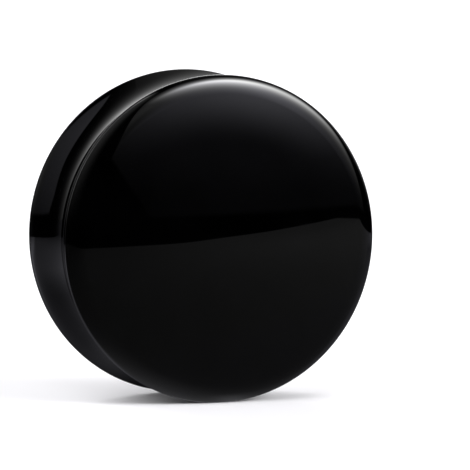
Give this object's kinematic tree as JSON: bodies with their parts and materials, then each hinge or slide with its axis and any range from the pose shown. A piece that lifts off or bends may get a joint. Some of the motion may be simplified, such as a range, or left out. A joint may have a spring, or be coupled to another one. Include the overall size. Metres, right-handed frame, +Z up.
{
  "type": "double-flared ear plug",
  "caption": "Solid round ear plug of polished black stone with domed faces, flared rims and a smooth hollow groove between them for a stretched ear lobe.",
  "frame": {"origin": "on the surface that the plug stands on, below its middle", "axes": "+Y along the plug's own axis, from its front face to its back face, which look alike; +Z up across the flares; +X to the right, seen from the front face"},
  "size_m": [0.035, 0.0188, 0.035],
  "materials": {
    "stone": "polished"
  },
  "bodies": {
    "root": {"plug": "stone"}
  },
  "joints": []
}
